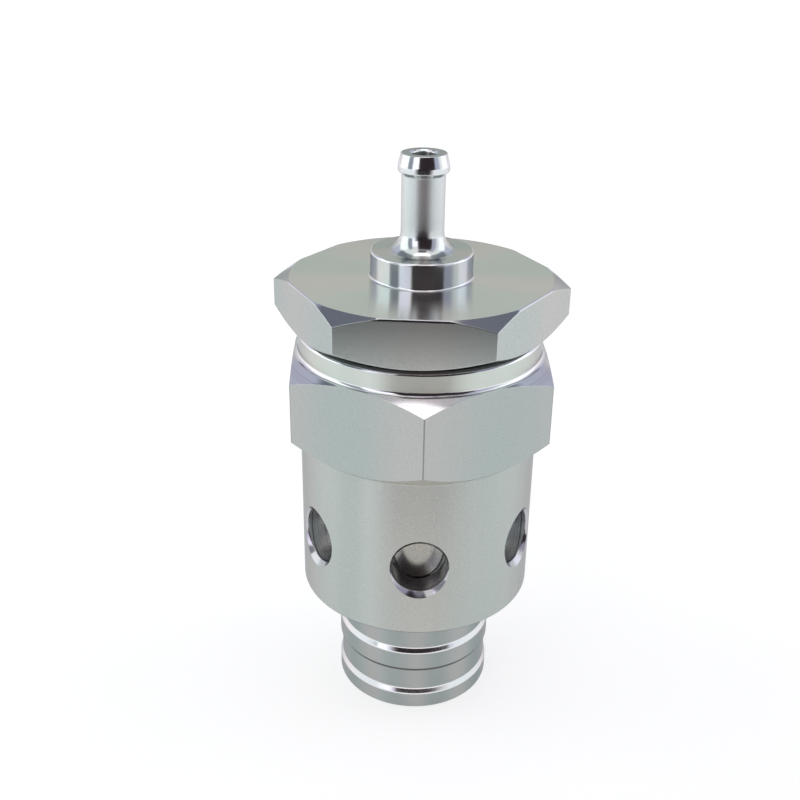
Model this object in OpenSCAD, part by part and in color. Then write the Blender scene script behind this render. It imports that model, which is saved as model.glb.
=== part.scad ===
// Vent-to-air blow off valve: a sprung piston in a barbed, hexagonal body under a screwed cap.
// All pieces share the Z axis. The end face of the hose spigot lies on z = 0. Sizes are in millimetres.

/* [Hose spigot] */
// Diameter over the two hose barbs
barb_d = 25; // [24.6:0.1:30]
// Diameter of the plain neck between and above the barbs
neck_d = 24.3; // [23:0.1:24.5]
// Diameter of the inlet bore
inlet_d = 20; // [12:0.1:21]
// Length from the end face to the underside of the drum
spigot_len = 19.5; // [16:0.1:40]
// Height of the full-diameter band of the lower barb
lower_barb_band = 2.8; // [1:0.1:5]
// Height of the square step under the upper barb
upper_barb_z = 7.7; // [7:0.1:9]
// Height of the full-diameter band of the upper barb
upper_barb_band = 3.3; // [1:0.1:5]
// Height over which each barb tapers down to the neck
barb_taper = 0.9; // [0.4:0.1:1.5]
// Edge break at the spigot end
spigot_edge = 0.25; // [0.1:0.05:0.5]
// Chamfer of the inlet mouth
inlet_chamfer = 0.5; // [0.2:0.1:1]

/* [Drum and vents] */
// Diameter of the drum
drum_d = 36.8; // [35:0.1:37.8]
// Length of the drum below the hexagon
drum_len = 26; // [24:0.1:40]
// Edge break at the foot of the drum
drum_edge = 0.3; // [0.1:0.05:1]
// Number of vents around the drum
vent_count = 6; // [3:1:8]
// Diameter of each drilled vent
vent_d = 8.4; // [4:0.1:9]
// Diameter of the countersink at the mouth of each vent
vent_mouth_d = 10; // [9.2:0.1:11]
// Height of the vents above the underside of the drum
vent_rise = 11.5; // [9:0.1:12.5]

/* [Body hexagon and collar] */
// Width across the flats of the body
body_hex_af = 38.2; // [38:0.1:44]
// Length from the foot of the lower cone to the top of the hexagon
body_hex_len = 13.95; // [11:0.05:20]
// Slope of the cone under the hexagon
hex_under_angle = 39; // [25:1:45]
// Slope of the chamfer over the hexagon
hex_over_angle = 31; // [20:1:40]
// Diameter of the collar under the cap
collar_d = 37.1; // [36.5:0.1:37.2]
// Height of the collar above the hexagon
collar_h = 3.6; // [3:0.1:8]
// Radius of the fillet at the foot of the collar
collar_fillet = 0.6; // [0.3:0.05:0.8]
// Chamfer at the top of the collar
collar_chamfer = 0.5; // [0.2:0.05:0.8]

/* [Cap flange] */
// Width across the flats of the cap
cap_hex_af = 38.4; // [38:0.1:44]
// Turn of the cap from flat-to-front where its thread tightens, in degrees
cap_turn = -4.5; // [-30:0.5:30]
// Thickness of the flange
cap_flange_t = 7.5; // [7:0.1:12]
// Diameter of the flat on the underside of the flange
cap_under_d = 37.6; // [37:0.1:38]
// Slope of the chamfer under the flange
cap_under_angle = 32; // [20:1:40]
// Diameter of the flat on top of the flange
cap_top_d = 39.1; // [36:0.1:40]
// Slope of the chamfer over the flange
cap_over_angle = 29.5; // [20:0.5:35]
// Gap left between the collar and the flange
cap_gap = 0.35; // [0.2:0.05:0.6]

/* [Vacuum nipple] */
// Diameter of the boss under the nipple
boss_d = 15.2; // [13:0.1:20]
// Height of the boss
boss_h = 3.85; // [2:0.05:8]
// Radius of the fillet at the foot of the boss
boss_fillet = 0.3; // [0.1:0.05:1]
// Edge break on top of the boss
boss_edge = 0.2; // [0.1:0.05:0.5]
// Radius of the flare from the boss to the stem
flare_radius = 3; // [2.9:0.1:3.2]
// Height of the flare
flare_h = 2.85; // [2:0.05:2.85]
// Diameter of the stem
stem_d = 6.35; // [5.5:0.05:6.6]
// Height of the nipple above the boss
nipple_h = 14.15; // [10:0.05:30]
// Diameter of the bead that holds the hose
bead_d = 7.45; // [6.8:0.05:9]
// Height of the rounded shoulder under the bead
bead_shoulder = 0.55; // [0.3:0.05:1]
// Height of the full-diameter band of the bead
bead_band = 0.8; // [0.5:0.1:2]
// Height of the cone over the bead
bead_cone = 1.7; // [1:0.1:3]
// Diameter of the rim of the nipple
rim_d = 6.6; // [6:0.05:6.7]
// Diameter of the bore through the nipple
nipple_bore_d = 3.6; // [2:0.1:4]
// Chamfer of the nipple bore
nipple_chamfer = 0.3; // [0.1:0.05:0.5]

/* [Cylinder and thread] */
// Diameter of the piston bore
bore_d = 28; // [27:0.1:29.5]
// Thickness of the shoulder that the piston closes on
seat_t = 2.5; // [2:0.1:5]
// Nominal diameter of the cap thread
thread_d = 32; // [31:0.1:33]
// Radial clearance in the cap thread
thread_clear = 0.05; // [0.02:0.01:0.1]
// Wall of the threaded skirt of the cap
skirt_wall = 3.5; // [3:0.1:3.8]
// Depth of the relief between the thread and the flange
relief_depth = 0.7; // [0.4:0.05:1]
// Length of the relief between the thread and the flange
relief_len = 2; // [1.8:0.1:3]
// Least width of the ledge between the cylinder and the thread
mouth_ledge = 0.6; // [0.4:0.1:1.5]

/* [Piston] */
// Radial running clearance of the piston
piston_clear = 0.05; // [0.02:0.01:0.08]
// Length of the piston
piston_len = 18.7; // [17.5:0.1:24]
// Thickness of the piston floor
piston_floor = 4; // [3:0.1:6]
// Bore of the piston cup
cup_d = 21; // [20.4:0.1:21.6]
// Travel of the piston from closed to fully open
piston_lift = 13; // [8:0.5:14]
// Gap between the closed piston and its shoulder
seat_gap = 0.3; // [0.2:0.05:0.5]
// Room left between the open piston and the cap
stop_spare = 0.3; // [0.2:0.05:0.6]
// Chamfers of the piston
piston_chamfer = 0.4; // [0.2:0.05:0.6]

/* [Seals] */
// Section of the seal around the piston
piston_seal_t = 2; // [1.6:0.1:2.2]
// Distance of the piston seal below the top of the piston
piston_seal_drop = 2.6; // [2.2:0.1:3.2]
// Section of the seal in the foot of the piston
seat_seal_t = 1.8; // [1.6:0.1:2]
// Mean diameter of the seal in the foot of the piston
seat_seal_d = 24; // [22:0.1:25.5]
// Least land between the groove of that seal and the chamfer of the piston
seal_land = 0.4; // [0.2:0.05:1]
// Section of the seal under the cap
cap_seal_t = 1.5; // [1.3:0.05:1.5]
// Room left between a seal and the walls around it
seal_clear = 0.05; // [0.03:0.01:0.06]
// Room on each side of a seal in its groove
groove_spare = 0.2; // [0.1:0.05:0.3]

/* [Return spring] */
// Diameter of the spring wire
wire_d = 1.6; // [1:0.1:1.8]
// Mean diameter of the coil
coil_d = 18; // [16:0.1:18.2]
// Number of turns, with one closed turn at each end
coil_turns = 9; // [6:1:10]
// Depth of the spring pocket above the underside of the flange
pocket_depth = 3.1; // [2:0.1:4]
// Diameter of the spring pocket
pocket_d = 21; // [20.4:0.1:22]
// Thickness of the shim over the spring
shim_t = 1; // [0.5:0.1:1.5]
// Bore of the shim
shim_bore_d = 12; // [8:0.1:14]
// Room left at each end of the spring and around the shim
spring_clear = 0.03; // [0.02:0.01:0.05]

/* [Hidden] */

$fn = 96;
// Length by which cutting tools run past the faces that they open
overrun = 1;
// Width by which the turned blank stands outside the hexagon bar
blank_spare = 0.5;
hex_sides = 6;
half_hex = 180 / hex_sides;

// Facets of the spring wire, and steps in each turn of the coil
wire_sides = 8;
turn_steps = 26;
// Share of the wire left under its centre where the spring ends are ground flat
ground_share = 0.35;
// Gap between a closed end turn and the turn above it
end_turn_gap = 0.1;

barb_r = barb_d / 2;
neck_r = neck_d / 2;
drum_r = drum_d / 2;
collar_r = collar_d / 2;
body_corner_r = body_hex_af / 2 / cos(half_hex);
cap_corner_r = cap_hex_af / 2 / cos(half_hex);

// Heights up the body
drum_z = spigot_len;
seat_z = drum_z + seat_t;
vent_z = drum_z + vent_rise;
hex_foot_z = drum_z + drum_len;
ledge_z = hex_foot_z + body_hex_len;
ledge_r = collar_r + collar_fillet;
collar_top_z = ledge_z + collar_h;
body_blank_r = body_corner_r + blank_spare;

// Heights up the cap
flange_z = collar_top_z + cap_gap;
flange_top_z = flange_z + cap_flange_t;
boss_top_z = flange_top_z + boss_h;
nipple_top_z = boss_top_z + nipple_h;
cap_blank_r = cap_corner_r + blank_spare;
bead_foot_z = nipple_top_z - bead_cone - bead_band - bead_shoulder;

// The cylinder has room for the seat seal in the foot of the piston, and the mouth for the cylinder
seat_groove_half = seat_seal_t / 2 + groove_spare;
piston_edge = piston_chamfer + piston_clear;
bore_r = max(bore_d / 2, seat_seal_d / 2 + seat_groove_half + seal_land + piston_edge);
thread_r = max(thread_d / 2, bore_r + piston_chamfer + mouth_ledge);
skirt_r = thread_r - thread_clear;
relief_r = skirt_r - relief_depth;

// The piston, its stop and the threaded mouth above it
piston_r = bore_r - piston_clear;
piston_z = seat_z + seat_gap;
piston_top_z = piston_z + piston_len;
skirt_end_z = piston_top_z + piston_lift + stop_spare;
mouth_floor_z = skirt_end_z - stop_spare;

// The cap seal lies against the relief, the flange and a 45 degree chamfer of the mouth
cap_seal_r = relief_r + seal_clear + cap_seal_t / 2;
cap_seal_z = flange_z - seal_clear - cap_seal_t / 2;
seal_to_chamfer = (cap_seal_t / 2 + seal_clear) / cos(45);
mouth_chamfer = collar_top_z - cap_seal_z + cap_seal_r - thread_r + seal_to_chamfer;

// The spring and what it stands between
pocket_roof_z = flange_z + pocket_depth;
shim_z = pocket_roof_z - shim_t - spring_clear;
spring_z0 = piston_z + piston_floor + spring_clear;
spring_z1 = shim_z - spring_clear;

// Full-height hexagon bar with a corner or a flat at the front
module hex_bar(across_flats, z0, z1, turn) {
    rotate([0, 0, turn])
        translate([0, 0, z0])
            cylinder(h = z1 - z0, r = across_flats / 2 / cos(half_hex), $fn = hex_sides);
}

// Turned outline of the body before its flats are milled
module body_outline() {
    difference() {
        polygon([
            [0, 0],
            [barb_r - spigot_edge, 0],
            [barb_r, spigot_edge],
            [barb_r, lower_barb_band],
            [neck_r, lower_barb_band + barb_taper],
            [neck_r, upper_barb_z],
            [barb_r, upper_barb_z],
            [barb_r, upper_barb_z + upper_barb_band],
            [neck_r, upper_barb_z + upper_barb_band + barb_taper],
            [neck_r, drum_z],
            [drum_r - drum_edge, drum_z],
            [drum_r, drum_z + drum_edge],
            [drum_r, hex_foot_z],
            [body_blank_r, hex_foot_z + (body_blank_r - drum_r) * tan(hex_under_angle)],
            [body_blank_r, ledge_z - (body_blank_r - ledge_r) * tan(hex_over_angle)],
            [ledge_r, ledge_z],
            [ledge_r, ledge_z + collar_fillet],
            [collar_r, ledge_z + collar_fillet],
            [collar_r, collar_top_z - collar_chamfer],
            [collar_r - collar_chamfer, collar_top_z],
            [0, collar_top_z]
        ]);
        translate([ledge_r, ledge_z + collar_fillet])
            circle(r = collar_fillet);
    }
}

// Section of the space inside the body: inlet, cylinder, lead-in, threaded mouth and seal chamfer
module body_hollow() {
    polygon([
        [0, -overrun],
        [inlet_d / 2 + inlet_chamfer + overrun, -overrun],
        [inlet_d / 2, inlet_chamfer],
        [inlet_d / 2, seat_z],
        [bore_r, seat_z],
        [bore_r, mouth_floor_z - piston_chamfer],
        [bore_r + piston_chamfer, mouth_floor_z],
        [thread_r, mouth_floor_z],
        [thread_r, collar_top_z - mouth_chamfer],
        [thread_r + mouth_chamfer + overrun, collar_top_z + overrun],
        [0, collar_top_z + overrun]
    ]);
}

// One drilled vent with its countersink, pointing to the front
module vent() {
    countersink = (vent_mouth_d - vent_d) / 2;
    rotate([90, 0, 0]) {
        cylinder(h = drum_r + overrun, d = vent_d);
        translate([0, 0, drum_r - countersink])
            cylinder(
                h = countersink + overrun,
                r1 = vent_d / 2,
                r2 = vent_mouth_d / 2 + overrun
            );
    }
}

module body() {
    color("#c6cac8")
        difference() {
            intersection() {
                rotate_extrude()
                    body_outline();
                hex_bar(body_hex_af, -overrun, collar_top_z + overrun, half_hex);
            }
            rotate_extrude()
                body_hollow();
            for (i = [0 : vent_count - 1])
                rotate([0, 0, i * 360 / vent_count])
                    translate([0, 0, vent_z])
                        vent();
        }
}

// Turned outline of the cap before its flats are milled
module cap_outline() {
    difference() {
        polygon([
            [0, skirt_end_z],
            [skirt_r - piston_chamfer, skirt_end_z],
            [skirt_r, skirt_end_z + piston_chamfer],
            [skirt_r, flange_z - relief_len],
            [relief_r, flange_z - relief_len + relief_depth],
            [relief_r, flange_z],
            [cap_under_d / 2, flange_z],
            [cap_blank_r, flange_z + (cap_blank_r - cap_under_d / 2) * tan(cap_under_angle)],
            [cap_blank_r, flange_top_z - (cap_blank_r - cap_top_d / 2) * tan(cap_over_angle)],
            [cap_top_d / 2, flange_top_z],
            [boss_d / 2 + boss_fillet, flange_top_z],
            [boss_d / 2 + boss_fillet, flange_top_z + boss_fillet],
            [boss_d / 2, flange_top_z + boss_fillet],
            [boss_d / 2, boss_top_z - boss_edge],
            [boss_d / 2 - boss_edge, boss_top_z],
            [stem_d / 2 + flare_radius, boss_top_z],
            [stem_d / 2 + flare_radius, boss_top_z + flare_h],
            [stem_d / 2, boss_top_z + flare_h],
            [stem_d / 2, bead_foot_z],
            [bead_d / 2, bead_foot_z + bead_shoulder],
            [bead_d / 2, bead_foot_z + bead_shoulder + bead_band],
            [rim_d / 2, nipple_top_z],
            [0, nipple_top_z]
        ]);
        translate([boss_d / 2 + boss_fillet, flange_top_z + boss_fillet])
            circle(r = boss_fillet);
        intersection() {
            translate([stem_d / 2 + flare_radius, boss_top_z + flare_h])
                circle(r = flare_radius);
            translate([stem_d / 2, boss_top_z])
                square([flare_radius, flare_h]);
        }
    }
}

// Section of the space inside the cap: skirt, spring pocket and nipple bore
module cap_hollow() {
    polygon([
        [0, skirt_end_z - overrun],
        [skirt_r - skirt_wall, skirt_end_z - overrun],
        [skirt_r - skirt_wall, flange_z],
        [pocket_d / 2, flange_z],
        [pocket_d / 2, pocket_roof_z],
        [nipple_bore_d / 2, pocket_roof_z],
        [nipple_bore_d / 2, nipple_top_z - nipple_chamfer],
        [nipple_bore_d / 2 + nipple_chamfer + overrun, nipple_top_z + overrun],
        [0, nipple_top_z + overrun]
    ]);
}

module cap() {
    color("#cdd0ce")
        difference() {
            intersection() {
                rotate_extrude()
                    cap_outline();
                hex_bar(cap_hex_af, skirt_end_z - overrun, nipple_top_z + overrun, cap_turn);
            }
            rotate_extrude()
                cap_hollow();
        }
}

// A seal groove cut in a turned outline
module groove(r0, r1, z0, z1) {
    translate([r0, z0])
        square([r1 - r0, z1 - z0]);
}

// Cup-shaped piston with a groove for each of its two seals
module piston() {
    seal_z = piston_top_z - piston_seal_drop;
    half_groove = piston_seal_t / 2 + groove_spare;
    color("#d4d6d5")
        rotate_extrude()
            difference() {
                polygon([
                    [0, piston_z],
                    [piston_r - piston_chamfer, piston_z],
                    [piston_r, piston_z + piston_chamfer],
                    [piston_r, piston_top_z - piston_chamfer],
                    [piston_r - piston_chamfer, piston_top_z],
                    [cup_d / 2 + piston_chamfer, piston_top_z],
                    [cup_d / 2, piston_top_z - piston_chamfer],
                    [cup_d / 2, piston_z + piston_floor],
                    [0, piston_z + piston_floor]
                ]);
                groove(
                    bore_r - piston_seal_t - 2 * seal_clear,
                    piston_r + overrun,
                    seal_z - half_groove,
                    seal_z + half_groove
                );
                groove(
                    seat_seal_d / 2 - seat_groove_half,
                    seat_seal_d / 2 + seat_groove_half,
                    piston_z - overrun,
                    seat_z + seat_seal_t + 2 * seal_clear
                );
            }
}

// Round-section ring seal about the axis
module ring_seal(mean_r, section, z) {
    color("#1c1c1d")
        rotate_extrude()
            translate([mean_r, z])
                circle(d = section);
}

module piston_o_ring() {
    ring_seal(
        bore_r - seal_clear - piston_seal_t / 2,
        piston_seal_t,
        piston_top_z - piston_seal_drop
    );
}

module seat_o_ring() {
    ring_seal(seat_seal_d / 2, seat_seal_t, seat_z + seal_clear + seat_seal_t / 2);
}

module cap_o_ring() {
    ring_seal(cap_seal_r, cap_seal_t, cap_seal_z);
}

module spring_shim() {
    color("#b9bcbc")
        translate([0, 0, shim_z])
            difference() {
                cylinder(h = shim_t, r = pocket_d / 2 - spring_clear);
                translate([0, 0, -overrun])
                    cylinder(h = shim_t + 2 * overrun, d = shim_bore_d);
            }
}

// Height of the wire's centre after a number of turns: closed at both ends, open between
end_pitch = wire_d + end_turn_gap;
coil_rise = spring_z1 - spring_z0 - 2 * ground_share * wire_d;
open_pitch = (coil_rise - 2 * end_pitch) / (coil_turns - 2);
function wire_height(turns) =
    min(turns, 1) * end_pitch
    + max(0, min(turns, coil_turns - 1) - 1) * open_pitch
    + max(0, turns - (coil_turns - 1)) * end_pitch;

// One ring of points around the wire, cut off level at the ground ends of the spring
function wire_ring(turns) = [
    for (k = [0 : wire_sides - 1])
        let (
            around = 360 * k / wire_sides,
            r = coil_d / 2 + wire_d / 2 * cos(around),
            z = spring_z0 + ground_share * wire_d + wire_height(turns) + wire_d / 2 * sin(around)
        )
        [
            r * cos(360 * turns),
            r * sin(360 * turns),
            max(spring_z0, min(spring_z1, z))
        ]
];

module return_spring() {
    rings = coil_turns * turn_steps;
    points = [
        for (i = [0 : rings])
            each wire_ring(i / turn_steps)
    ];
    sides = [
        for (i = [0 : rings - 1])
            for (k = [0 : wire_sides - 1])
                let (
                    a = i * wire_sides + k,
                    b = i * wire_sides + (k + 1) % wire_sides
                )
                each [
                    [a, b, b + wire_sides],
                    [a, b + wire_sides, a + wire_sides]
                ]
    ];
    last = rings * wire_sides;
    ends = [
        [for (k = [0 : wire_sides - 1]) (wire_sides - k) % wire_sides],
        [for (k = [0 : wire_sides - 1]) last + k]
    ];
    color("#8f9496")
        polyhedron(points = points, faces = concat(sides, ends));
}

body();
cap();
piston();
piston_o_ring();
seat_o_ring();
return_spring();
spring_shim();
cap_o_ring();
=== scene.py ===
# %% [markdown]
# # A turned and milled blow off valve
#
# The valve stands on its hose spigot. Its body and its cap are turned from hexagon bar, drilled, and left
# bright. The imported model gives the frame: every size and place below is in that frame, with +Z up the
# axis. We load it first, and print how high each of its parts reaches.

# %% Load the frame
import math

import bmesh
import bpy
from mathutils import Matrix, Vector


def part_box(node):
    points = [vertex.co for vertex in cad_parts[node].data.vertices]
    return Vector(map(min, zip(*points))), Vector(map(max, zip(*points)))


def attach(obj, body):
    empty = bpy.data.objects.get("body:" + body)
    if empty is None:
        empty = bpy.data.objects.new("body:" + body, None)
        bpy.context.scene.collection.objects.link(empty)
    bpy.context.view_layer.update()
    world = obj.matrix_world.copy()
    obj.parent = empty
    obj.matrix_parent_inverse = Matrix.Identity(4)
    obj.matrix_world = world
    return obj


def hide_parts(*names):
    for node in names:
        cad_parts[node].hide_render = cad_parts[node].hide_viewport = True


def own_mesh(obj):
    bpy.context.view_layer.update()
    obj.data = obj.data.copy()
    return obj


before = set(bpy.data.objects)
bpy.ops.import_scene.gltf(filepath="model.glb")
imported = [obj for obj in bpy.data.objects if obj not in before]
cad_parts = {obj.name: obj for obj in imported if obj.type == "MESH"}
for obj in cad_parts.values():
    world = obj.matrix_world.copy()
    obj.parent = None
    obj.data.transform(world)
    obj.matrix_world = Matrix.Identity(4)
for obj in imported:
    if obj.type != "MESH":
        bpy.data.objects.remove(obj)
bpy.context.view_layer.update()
MM = 0.001
for node_name in sorted(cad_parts):
    low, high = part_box(node_name)
    print(node_name, "from z", round(low.z / MM, 2), "to", round(high.z / MM, 2), "mm")

# %% [markdown]
# ## The camera
#
# A product photograph like this one is taken from a little above, close enough for strong perspective: the
# spigot is seen from about 38 degrees above and the nipple from about 12. A camera can be placed by eye,
# but one that was fitted to measured edges keeps every outline in place. The place, the lens and the small
# roll are set once here. Depth of field stays off.

# %% Camera
VIEW_AZIMUTH = -1.15
VIEW_ELEVATION = 25.097
VIEW_DISTANCE = 166.885
VIEW_ROLL = 0.846
VIEW_TARGET = Vector((-2.9, 0, 50.289))
VIEW_LENS = 48.075
VIEW_SENSOR = 36

lift = math.radians(VIEW_ELEVATION)
roll = math.radians(VIEW_ROLL)
level_right = Vector((1, 0, 0))
level_up = Vector((0, math.sin(lift), math.cos(lift)))
view_back = Vector((0, -math.cos(lift), math.sin(lift)))
view_right = level_right * math.cos(roll) + level_up * math.sin(roll)
view_up = level_up * math.cos(roll) - level_right * math.sin(roll)
view_basis = Matrix((view_right, view_up, view_back)).transposed().to_4x4()
view_basis.translation = (VIEW_TARGET + view_back * VIEW_DISTANCE) * MM

bpy.ops.object.select_all(action="DESELECT")
bpy.ops.object.camera_add()
camera = bpy.context.active_object
camera.name = "camera"
camera.data.sensor_fit = "HORIZONTAL"
camera.data.sensor_width = VIEW_SENSOR
camera.data.lens = VIEW_LENS
camera.data.clip_start = MM
camera.matrix_world = Matrix.Rotation(math.radians(VIEW_AZIMUTH), 4, "Z") @ view_basis
bpy.context.scene.camera = camera
print("camera at", [round(c / MM, 1) for c in camera.matrix_world.translation], "mm")

# %% [markdown]
# ## Helpers for node trees
#
# The world, the floor and the finishes are all node trees. A few small helpers keep them readable: they set
# or link a socket, add a node with its inputs by name or in order, add the nodes that come up most often,
# and start an empty material.

# %% Node helpers
MIX_SOCKETS = (0, 6, 7)  # the factor and the two colours of a Mix node
MIX_RESULT = 2


def plug(tree, socket, value):
    """Link a socket, or set its plain value."""
    if isinstance(value, bpy.types.NodeSocket):
        tree.links.new(value, socket)
    else:
        socket.default_value = value


def node(tree, kind, settings=None, **inputs):
    """Add a node with its settings. Inputs are given by name, with _ for a space."""
    made = tree.nodes.new(kind)
    for key, value in (settings or {}).items():
        setattr(made, key, value)
    for key, value in inputs.items():
        plug(tree, made.inputs[key.replace("_", " ")], value)
    return made


def fill(tree, kind, settings, *values):
    """Add a node and fill its inputs in their order."""
    made = node(tree, kind, settings)
    for socket, value in zip(made.inputs, values):
        plug(tree, socket, value)
    return made


def calc(tree, operation, *values):
    """A Math node, as its output socket."""
    return fill(tree, "ShaderNodeMath", {"operation": operation}, *values).outputs[0]


def place_in(tree):
    """Where the shaded point lies on its own object, in metres."""
    return node(tree, "ShaderNodeTexCoord").outputs["Object"]


def ease(tree, value, low, high):
    """0 below low, 1 above high, smooth between."""
    made = node(
        tree,
        "ShaderNodeMapRange",
        {"interpolation_type": "SMOOTHSTEP"},
        Value=value,
        From_Min=low,
        From_Max=high,
    )
    return made.outputs["Result"]


def mix_colour(tree, share, first, second, blend="MIX"):
    """A colour Mix node, as its output socket."""
    made = node(tree, "ShaderNodeMix", {"data_type": "RGBA", "blend_type": blend})
    for index, value in zip(MIX_SOCKETS, (share, first, second)):
        plug(tree, made.inputs[index], value)
    return made.outputs[MIX_RESULT]


def new_material(name):
    """An empty material, with its node tree."""
    made = bpy.data.materials.new(name)
    made.use_nodes = True
    made.node_tree.nodes.clear()
    return made, made.node_tree


print("node helpers ready")

# %% [markdown]
# Operators work on what is selected. Two more helpers select one object alone, and those parts of its mesh
# that pass a test.

# %% Selection helpers
def make_active(piece):
    """Select one piece alone, for the operators that follow."""
    bpy.ops.object.select_all(action="DESELECT")
    bpy.context.view_layer.objects.active = piece
    piece.select_set(True)


def select_where(piece, kind, wanted):
    """Enter edit mode and select the vertices, edges or faces that pass a test. Gives their number."""
    bpy.ops.object.mode_set(mode="EDIT")
    bpy.ops.mesh.select_mode(type=kind)
    bpy.ops.mesh.select_all(action="DESELECT")
    mesh = bmesh.from_edit_mesh(piece.data)
    parts = {"VERT": mesh.verts, "EDGE": mesh.edges, "FACE": mesh.faces}[kind]
    chosen = [part for part in parts if wanted(part)]
    for part in chosen:
        part.select_set(True)
    bmesh.update_edit_mesh(piece.data)
    return len(chosen)


print("selection helpers ready")

# %% [markdown]
# ## The light tent
#
# Bright metal has almost no colour of its own: it shows what stands around it. The real valve stood in a
# white tent that is open to the front, so the mirror-like chamfers show a black patch in the middle and
# white on both sides. Cards and lamps could be set up one by one, but a single dome is easier to tune: its
# glow is written by direction. Azimuth 0 is the front, plus is to the right, and elevation is above the
# floor. Each panel is a range of directions with a soft edge. The dome is hidden from the camera, which
# sees the plain white world behind it.

# %% World
WHITE = (1.0, 1.0, 1.0, 1)

world = bpy.data.worlds.new("white_room")
bpy.context.scene.world = world
world.use_nodes = True
room = world.node_tree
room.nodes.clear()
backdrop = node(room, "ShaderNodeBackground", Color=WHITE, Strength=1.0)
node(room, "ShaderNodeOutputWorld", Surface=backdrop.outputs[0])
print("world is plain white")

# %% [markdown]
# The tent is a sphere, cut off just under the floor, because what lies below would light nothing.

# %% Dome
TENT_R = 1.5
TENT_SEGMENTS = 64
TENT_RINGS = 32

bpy.ops.object.select_all(action="DESELECT")
bpy.ops.mesh.primitive_uv_sphere_add(segments=TENT_SEGMENTS, ring_count=TENT_RINGS, radius=TENT_R)
dome = bpy.context.active_object
dome.name = "light_tent"
bpy.ops.object.mode_set(mode="EDIT")
bpy.ops.mesh.select_all(action="SELECT")
bpy.ops.mesh.bisect(plane_co=(0, 0, -MM), plane_no=(0, 0, 1), clear_inner=True)
bpy.ops.object.mode_set(mode="OBJECT")
dome.visible_camera = False
print("dome of", TENT_R, "m,", len(dome.data.polygons), "faces")

# %% [markdown]
# The list of panels runs from the lowest layer to the highest: a later panel covers the ones before it. The
# first is the back of the tent, a little grey. The last two are a shade high up behind, which the sloped
# chamfers mirror, and the roof, which is the brightest part.

# %% Glow of the dome
ALL_ROUND = 400
PANELS = [
    # on both sides, azimuth from, to, elevation from, to, soft edge in degrees, light
    (True, 150, ALL_ROUND, -ALL_ROUND, 38, 20, (0.74, 0.76, 0.72, 1)),
    (False, -122, -76, -10, 48, 10, (1.45, 1.5, 1.5, 1)),
    (False, 88, 122, -10, 48, 12, (1.42, 1.42, 1.55, 1)),
    (True, 120, 160, 20, 50, 10, (0.6, 0.64, 0.78, 1)),
    (False, -77, -54, -14, 52, 5, (0.34, 0.35, 0.4, 1)),
    (False, -52, -26, -14, 40, 4, (1.5, 1.45, 1.7, 1)),
    (False, 44, 72, -12, 66, 14, (0.5, 0.49, 0.62, 1)),
    (False, -24, 49, 48, 62, 6, (0.36, 0.36, 0.41, 1)),
    (False, -30, 30, 62, 76, 5, (0.06, 0.055, 0.06, 1)),
    (False, -24, 49, -7, 56, 5, (0.03, 0.022, 0.026, 1)),
    (True, 109, ALL_ROUND, 45, 74, 6, (0.215, 0.23, 0.28, 1)),
    (True, -ALL_ROUND, ALL_ROUND, 76, ALL_ROUND, 6, (1.9, 1.9, 1.95, 1)),
]


def direction_of(tree):
    """The direction from the middle of a stage piece to the shaded point, as a Separate XYZ node."""
    direction = fill(tree, "ShaderNodeVectorMath", {"operation": "NORMALIZE"}, place_in(tree))
    return node(tree, "ShaderNodeSeparateXYZ", Vector=direction.outputs[0])


def bearing_of(tree):
    """Degrees round the valve, from the front."""
    axes = direction_of(tree)
    to_front = calc(tree, "MULTIPLY", axes.outputs["Y"], -1.0)
    return calc(tree, "DEGREES", calc(tree, "ARCTAN2", axes.outputs["X"], to_front))


def elevation_of(tree):
    """Degrees above the floor."""
    return calc(tree, "DEGREES", calc(tree, "ARCSINE", direction_of(tree).outputs["Z"]))


def between(tree, value, low, high, soft):
    """1 between two angles, with soft edges centred on them."""
    rising = ease(tree, value, low - soft / 2, low + soft / 2)
    falling = ease(tree, value, high - soft / 2, high + soft / 2)
    return calc(tree, "SUBTRACT", rising, falling)


cloth, tent = new_material("tent_cloth")
azimuth = bearing_of(tent)
off_front = calc(tent, "ABSOLUTE", azimuth)
elevation = elevation_of(tent)
light = WHITE
for both_sides, az_from, az_to, el_from, el_to, soft, panel_light in PANELS:
    across = between(tent, off_front if both_sides else azimuth, az_from, az_to, soft)
    upward = between(tent, elevation, el_from, el_to, soft)
    light = mix_colour(tent, calc(tent, "MULTIPLY", across, upward), light, panel_light)
lit_cloth = node(tent, "ShaderNodeEmission", Color=light, Strength=1.0)
node(tent, "ShaderNodeOutputMaterial", Surface=lit_cloth.outputs[0])
dome.data.materials.append(cloth)
print("tent of", len(PANELS), "panels")

# %% [markdown]
# ## The floor and the dark front
#
# The valve stands on a plain pale sheet that is lost in the white around it. A sheet that only scatters
# light would come out a little grey, so it also glows. Where the valve keeps the light off, the glow stays
# and the rest falls away, which leaves a soft, pale shadow. Far off the glow rises, so that no horizon
# shows. From below the sheet is clear, so that the end of the spigot can be looked at.

# %% Floor
FLOOR_SIZE = 4.0
FLOOR_DROP = 0.02 * MM
FLOOR_COLOUR = (0.4, 0.4, 0.4, 1)
FLOOR_GLOW = 0.735
FLOOR_NEAR = 0.4
FLOOR_FAR = 0.9

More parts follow.
